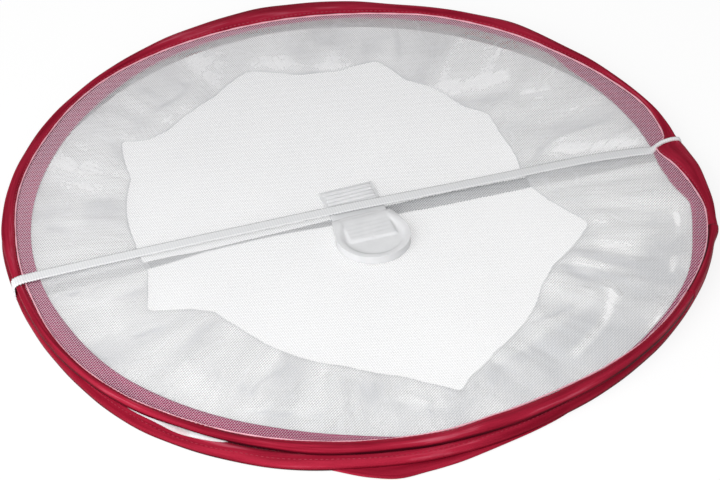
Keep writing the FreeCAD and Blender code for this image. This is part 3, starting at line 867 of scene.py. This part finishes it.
# %% Fold it and sew it in
# Shares of the wall: the lower hem at 0, the fold, the upper hem, then the frill past it
FOLD_AT, HEM_AT = 0.47, 0.92
LOWEST_ABOVE, HIGHEST_BELOW = 5.95, 4.15
STITCHED_AT = 170
wall_in = smooth_line([(0, 0), (0.06, 0.06), (0.2, 0.4), (0.34, 0.78), (0.42, 0.94),
                       (0.47, 1), (0.52, 0.94), (0.6, 0.78), (0.74, 0.4), (0.88, 0.05),
                       (0.92, 0), (1, 0)])
wall_rise = smooth_line([(0, 2.4), (0.06, 2.6), (0.2, 2.9), (0.34, 3.2), (0.42, 3.9),
                         (0.47, 5.0), (0.52, 6.2), (0.6, 7.2), (0.74, 7.4), (0.88, 7.3),
                         (0.92, 7.4), (0.96, 6.8), (1, 6.1)])
frill_reach = smooth_line([(0, 0), (207, 0), (215.5, 0.87), (220, 0.94), (225, 1.1), (229, 1),
                           (231.5, 0.87), (237, 0), (300, 0)], around=True)
FRILL_SHARES = [0.9, 0.935, 0.965, 1]
PLEATS = [(0.42, 29, 150, 0), (0.34, 47, -260, 90), (0.22, 71, 320, 200),
          (0.15, 113, -500, 20)]


def folded_wall(along, across):
    angle = 360 * along
    hem = np.interp(across, [0, FOLD_AT, HEM_AT], [171.5, 169.5, 167.5])
    depth = wall_in(across)
    radius = hem - depth * (hem - fold_line(angle))
    height = wall_rise(across)
    body = np.clip((158 - radius) / 14, 0, 1)
    away = np.clip(np.abs(across - FOLD_AT) / 0.06, 0.25, 1)
    height += body * away * soft_waves(angle, across, PLEATS)
    x, y, _ = on_hoop(angle, radius, height)
    lift = np.clip((across - 0.52) / 0.05, 0, 1) * body
    height -= 0.35 * lift * np.clip(creases_and_glints_at(x, y), -1, 1)
    shown = frill_reach(angle)
    frill = np.clip((across - 0.9) / 0.03, 0, 1)
    out_to = upper_outer_edge(angle) - 169.5 - 2.5 * (1 - shown)
    outwards = np.interp(across, FRILL_SHARES, [0, 0.6, 0.95, 1.05])
    drop = np.interp(across, FRILL_SHARES, [0, 0.6, 0.2, 0.0])
    radius += frill * (2.0 + shown * outwards * out_to)
    height += frill * shown * drop
    height = np.where(across > 0.58, np.maximum(height, LOWEST_ABOVE), height)
    height = np.where(across < 0.36, np.minimum(height, HIGHEST_BELOW), height)
    return on_hoop(angle, radius, height)


sheer_wall = lay_cloth("sheer_wall", 860, 100, (1075, 150), folded_wall)
sheer_wall.data.materials.append(sheer)
x, y, z = places_of(sheer_wall).T
from_middle = np.hypot(x, y)
turned_in = from_middle - fold_line(np.degrees(np.arctan2(y, x)))
# painted glints and painted shade: below 0 the cloth is whitened and thinned, above 0 greyed
cloth_layers_and_light = creases_and_glints_at(x, y)
cloth_layers_and_light = np.where(z > 5.2, cloth_layers_and_light, np.minimum(cloth_layers_and_light, 0))
cloth_layers_and_light = np.where(cloth_layers_and_light < 0, -1.6 * np.abs(cloth_layers_and_light) ** 1.3, cloth_layers_and_light)
# painted shade: the wall is made greyer towards the front and lighter towards the back
cloth_layers_and_light = np.where(from_middle > STITCHED_AT, 0.6, cloth_layers_and_light - 0.3 * y / STITCHED_AT)
paint(sheer_wall, "cloth_layers_and_light", cloth_layers_and_light + 0.9 * np.exp(-(turned_in / 0.9) ** 2))
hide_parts("side_wall")
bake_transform(sheer_wall)

# %% [markdown]
# ## The elastic loop
#
# A white knitted elastic, 6 mm wide, with a row of tiny loops along both edges. It runs
# over the packet, round both hoops and back underneath, where it lies slack and turned.
# Its middle line goes through marks, and the band is laid across that line, tilted,
# rolled in where it is pinched, and scalloped along both edges. The loops are 0.7 mm
# apart on the real band and are drawn at 1.5 mm.

# %% Knitted elastic
BAND_WIDE = 6.2
RIB_ALONG, RIB_ACROSS = 1.3, 1.24
ONE_WAVE = 0.318  # the texture's scale that gives one wave in each unit

elastic_face = new_material("knitted_elastic")
ribs, loops = (add_node(elastic_face, "TexWave", {
    "Vector": scaled(elastic_face, on_cut(elastic_face), (1 / RIB_ALONG, 1 / RIB_ACROSS, 1)),
    "Scale": ONE_WAVE, "Distortion": unevenness}, bands_direction=direction).outputs["Fac"]
    for direction, unevenness in (("Y", 0.6), ("X", 0.4)))
knit = maths(elastic_face, "MULTIPLY", ribs, loops)
shade(elastic_face, ramp(elastic_face, knit, (0, "#DCDDDF"), (1, "#F6F6F6")), {
    "Normal": bump(elastic_face, knit, 0.4, 0.0003), "Roughness": 0.65, "Sheen Weight": 0.3})

# %% [markdown]
# The back of the band is coloured a little greyer than its face, as painted shade, and the
# lower strand turns that back up to the eye. Where the wall leaves the lower strand bare, in
# the middle, its back is painted much darker still, as the shade under the upper strand.

# %% The elastic's back
elastic_back = recolour(elastic_face, "knitted_elastic_back", "#DCDDDF", "#EEEFF0")
shaded_back = recolour(elastic_face, "knitted_elastic_back_painted_shade", "#A6A8AB", "#C2C4C6")

# %% Mark the loop's middle line
# Along the band: x, y, z, tilt in degrees, roll from 0 flat to 1 half a tube
BAND = [
    (-173.9, 0, 5.5, 0, 0.05), (-174, 0, 9, 0, 0.05), (-172.4, 0, 11.1, 0, 0.05),
    (-168, 0, 11.9, 0, 0.03), (-155, 0.5, 11.8, 0, 0), (-120, 0.9, 11.7, 0, 0),
    (-60, 0.5, 12.1, 1, 0), (-20, 0.3, 12.1, 0, 0), (0, 0.1, 12, 0, 0),
    (20, -0.5, 11.95, 0, 0), (60, -2.1, 12.3, 3, 0), (120, -2.9, 12, 2, 0.02),
    (146, -3.8, 10.8, 0, 0.05), (154, -4.2, 10.3, 0, 0.15), (157, -3.6, 10.5, 0, 0.8),
    (160, -2, 11.1, 0, 1.6), (164, -1, 11.7, 0, 1.8), (168, -0.7, 11.9, 0, 1.8),
    (172.8, -0.5, 10.8, 0, 1.7), (174.4, -0.2, 6, 0, 0.9), (173.6, 0.4, 1.2, 0, 0.4),
    (169, 0.3, 0.45, 0, 0.1), (150, 0.6, 0.9, 4, 0), (125, 0.4, 1.2, 8, 0),
    (85, 1, 1.9, 24, 0), (50, 1.3, 2.6, 35, 0), (20, 2.2, 2.2, 10, 0),
    (-10, 2.4, 2.2, -12, 0), (-45, 2.3, 2.6, -32, 0), (-75, 1.8, 2.4, -34, 0),
    (-100, 1.4, 1.9, -10, 0), (-140, 0.8, 0.9, 0, 0), (-168, 0.2, 0.45, 0, 0),
    (-173.2, 0, 1.2, 0, 0.03)]
rows = np.array(BAND + BAND[:1], float)
steps = np.hypot(np.hypot(*np.diff(rows[:, :2], axis=0).T), np.diff(rows[:, 2]))
reached = np.concatenate(([0], np.cumsum(steps)))
BAND_LENGTH = float(reached[-1])
band_lines = [smooth_line(list(zip(reached * 360 / BAND_LENGTH, column))[:-1], around=True)
              for column in rows.T]
print("elastic loop:", round(BAND_LENGTH), "mm round")


# %% Lay the band along it
def band_at(share, offset, lift=0.0):
    """A point on the band: share of its length, millimetres off its middle line."""
    turn = share * 360
    x, y, z, tilt, roll = (line(turn) for line in band_lines)
    ahead = [line(turn + 0.05) - line(turn - 0.05) for line in (band_lines[0], band_lines[2])]
    size = np.hypot(*ahead)
    normal_x, normal_z = -ahead[1] / size, ahead[0] / size
    bend = np.maximum(roll, 0.001) * math.pi / BAND_WIDE
    flat = np.sin(offset * bend) / bend
    sunk = -(1 - np.cos(offset * bend)) / bend + lift
    lean = np.radians(tilt)
    side = flat * np.cos(lean) - sunk * np.sin(lean)
    rise = sunk * np.cos(lean) - flat * np.sin(lean)
    return x + rise * normal_x, y + side, z + rise * normal_z


PICOT = 1.5


def elastic_band(along, across):
    """The band's edges are scalloped by a row of small loops."""
    scallop = np.abs(np.sin(math.pi * along * BAND_LENGTH / PICOT))
    half = 2.65 + 0.6 * scallop * (np.abs(across - 0.5) > 0.45)
    return band_at(along, (across - 0.5) * 2 * half)


elastic = lay_cloth("elastic_loop", 2400, 10, (BAND_LENGTH, BAND_WIDE), elastic_band)
for finish in (elastic_face, elastic_back):
    elastic.data.materials.append(finish)
apply_modifier(elastic, "SOLIDIFY", thickness=0.45 * MM, offset=-1, material_offset=1)
elastic.data.materials.append(shaded_back)
# painted shade: the bare middle of the lower strand's back gets the darker grey copy
for face in elastic.data.polygons:
    if face.material_index == 1 and -106 < face.center.x / MM < 92:
        face.material_index = 2
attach(elastic, "elastic_loop")
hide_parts("elastic_band")


# %% Lap its ends
LAP_LONG, LAP_AT = 14, 130
LOWER_RUN = slice(20, 25)


def lapped_band(along, across):
    """The band's other end, under the lower strand."""
    middle = np.interp(-LAP_AT, -rows[LOWER_RUN, 0], reached[LOWER_RUN])
    share = (middle + (along - 0.5) * LAP_LONG) / BAND_LENGTH
    return band_at(share, (across - 0.5) * 5.9, lift=-0.95)


join = lay_cloth("elastic_lap", 28, 8, (LAP_LONG, BAND_WIDE), lapped_band, 0.5)
dress(join, elastic_face, "elastic_loop", "elastic_join")

# %% [markdown]
# ## The pull tab
#
# The tab is one moulding of clear, soft plastic: a ribbed strip welded to the net, and a
# round grip with a dished middle and a thick rounded rim. Both are made from a plain
# primitive. The strip's ribs are rows of its top faces, raised. The grip is a disc whose
# face is inset ring by ring and sunk, with its neck pulled out of its back. The strip's
# end lies welded over the back half of the dish, so that half is pressed flat and ribbed.

# %% Clear soft plastic
clear_soft = new_material("moulded_clear_soft_vinyl")
haze = noise(clear_soft, on_object(clear_soft), 170.0, 5.0)
shade(clear_soft, ramp(clear_soft, haze, (0, "#ECEDEF"), (1, "#FCFCFD")), {
    "Normal": bump(clear_soft, haze, 0.15, 0.0006), "Roughness": 0.2, "IOR": 1.5,
    "Transmission Weight": 0.3})


# %% Choose faces by their place
def choose_faces(piece, rule):
    """Select in edit mode the faces whose middle, in millimetres, and normal fit a rule."""
    bpy.ops.mesh.select_all(action="DESELECT")
    set_mode(mode="OBJECT")
    for face in piece.data.polygons:
        face.select = bool(rule(face.center / MM, face.normal))
    set_mode(mode="EDIT")


def start_block(primitive, name, **settings):
    """A primitive with its place in its mesh, opened to choose its faces."""
    piece = start_from(primitive, name, **settings)
    bpy.ops.object.transform_apply(location=True, rotation=True, scale=True)
    set_mode(mode="EDIT")
    bpy.ops.mesh.select_mode(type="FACE")
    return piece


def pull_faces(x, y, z):
    """Extrude the chosen faces by a move in millimetres."""
    bpy.ops.mesh.extrude_region_move(TRANSFORM_OT_translate={
        "value": (x * MM, y * MM, z * MM)})


def round_off(piece, width, segments):
    """Bevel the sharp edges, then smooth the whole piece."""
    set_mode(mode="OBJECT")
    apply_modifier(piece, "BEVEL", width=width * MM, segments=segments, limit_method="ANGLE")
    apply_modifier(piece, "SUBSURF", levels=1, render_levels=1)
    bpy.ops.object.shade_smooth()
    count_faces(piece)


# %% Mould the ribbed strip
STRIP_BACK, RIB = 17.8, 1.45
RIBBED_HALF = 12.4

strip = start_block(bpy.ops.mesh.primitive_cube_add, "ribbed_strip", size=1,
                    location=(0, 5.6 * MM, 10.0 * MM),
                    scale=(28 * MM, 24.4 * MM, 1.2 * MM))
for cut in range(1, 14):
    slice_at((0, STRIP_BACK - RIB * cut, 0), (0, 1, 0))
for cut in (-RIBBED_HALF, RIBBED_HALF):
    slice_at((cut, 0, 0), (1, 0, 0))


def on_a_rib(middle, normal):
    row = int((STRIP_BACK - middle.y) // RIB)
    return normal.z > 0.9 and row in (1, 3, 5, 7, 9) and abs(middle.x) < RIBBED_HALF


choose_faces(strip, on_a_rib)
pull_faces(0, 0, 0.7)
bpy.ops.transform.resize(value=(0.98, 0.9, 1.0))
round_off(strip, 0.25, 2)
reshape(strip, lambda x, y, z: (x + 0.4, y + 0.035 * x, z))
dress(strip, clear_soft, "upper_hoop", "tab_strip")

# %% Mould the round grip
# The rings of the dish: how wide each is and how far it sinks
DISH = [(2.0, 0), (1.0, 0.3), (0.9, 0.6), (0.9, 0.5), (1.4, 0.2)] + [(1.3, 0)] * 8

grip = start_block(bpy.ops.mesh.primitive_cylinder_add, "round_grip", vertices=48,
                   radius=18.6 * MM, depth=4.2 * MM,
                   location=(0.6 * MM, -26 * MM, 11.8 * MM))
choose_faces(grip, lambda middle, normal: normal.z > 0.9)
for inward, sunk in DISH:
    bpy.ops.mesh.inset(thickness=inward * MM, depth=-sunk * MM)
choose_faces(grip, lambda middle, normal: normal.z < -0.9)
bpy.ops.mesh.inset(thickness=3.6 * MM)
pull_faces(0, 0, 0.8)
choose_faces(grip, lambda middle, normal: abs(normal.z) < 0.1 and normal.y > 0.35
             and middle.y > -20)
pull_faces(0, 3, 0)
bpy.ops.transform.resize(value=(0.94, 0.3, 0.6), center_override=(0, -8.4 * MM, 11 * MM))
pull_faces(0, 1, 0)
bpy.ops.transform.resize(value=(0.9, 0.05, 0.5), center_override=(0, -7.4 * MM, 10.6 * MM))
round_off(grip, 1.3, 4)


def weld_strip_over(x, y, z):
    """Flatten the back of the dish, where the strip's end lies welded over it."""
    covered = np.clip((12.6 - np.abs(x - 0.5)) / 1.1, 0, 1) * np.clip((y + 28.4) / 1.1, 0, 1)
    slope = 1.15 * np.clip((y + 12) / 4.6, 0, 1)
    surface = 13.35 - slope + 0.05 * np.sin(2.17 * y - 0.1 * x)
    return x, y, z + covered * (z > 12) * (surface - z)


reshape(grip, weld_strip_over)
dress(grip, clear_soft, "pull_tab", "tab_grip")

# %% [markdown]
# ## Floor and light
#
# The object lies on a plain white floor, which glows almost white, yet keeps part of its
# own shade so that a soft shadow holds the object down. A broad sun, an even sky and a
# soft window light everything evenly, a little more on the left, as in the photograph.

# %% Floor
def seen_directly(material):
    """1 where the camera, a reflection or a clear piece sees it, and 0 where it lights."""
    path = add_node(material, "LightPath").outputs
    seen = maths(material, "MAXIMUM", path["Is Camera Ray"], path["Is Glossy Ray"])
    return maths(material, "MAXIMUM", seen, path["Is Transmission Ray"])


paper = new_material("plain_white_floor")
matt = add_node(paper, "BsdfDiffuse", {"Color": linear("#F2F2F2")})
glow = add_node(paper, "Emission", {"Color": (1, 1, 1, 1), "Strength": 1.06})
paper_mix = add_node(paper, "MixShader", {
    0: maths(paper, "MULTIPLY", seen_directly(paper), 0.8),
    1: matt.outputs[0], 2: glow.outputs[0]})
finish_material(paper, paper_mix.outputs[0])
floor = start_from(bpy.ops.mesh.primitive_plane_add, "floor", size=8)
floor.data.materials.append(paper)

# %% Sky, sun and window
world = scene.world or bpy.data.worlds.new("sky")
scene.world = world
world.use_nodes = True
world.node_tree.nodes.clear()
backdrop = add_node(world, "Background", {
    "Strength": from_to(world, seen_directly(world), 0, 1, 0.41, 1)})
add_node(world, "OutputWorld", {"Surface": backdrop.outputs[0]})


def add_light(kind, name, towards, energy, place=(0, 0, 0)):
    """A light at a place, in metres, that shines towards a direction."""
    bpy.ops.object.light_add(type=kind, location=place)
    light = bpy.context.object
    light.name = name
    light.rotation_mode = "QUATERNION"
    light.rotation_quaternion = Vector(towards).to_track_quat("-Z", "Y")
    light.data.energy = energy
    print("light:", name)
    return light.data


add_light("SUN", "front_sun", (0.3, 0.8, -0.75), 0.95).angle = math.radians(45)
add_light("AREA", "soft_window", (0.5, 0.4, -0.45), 4.7, (-0.5, -0.4, 0.45)).size = 0.6
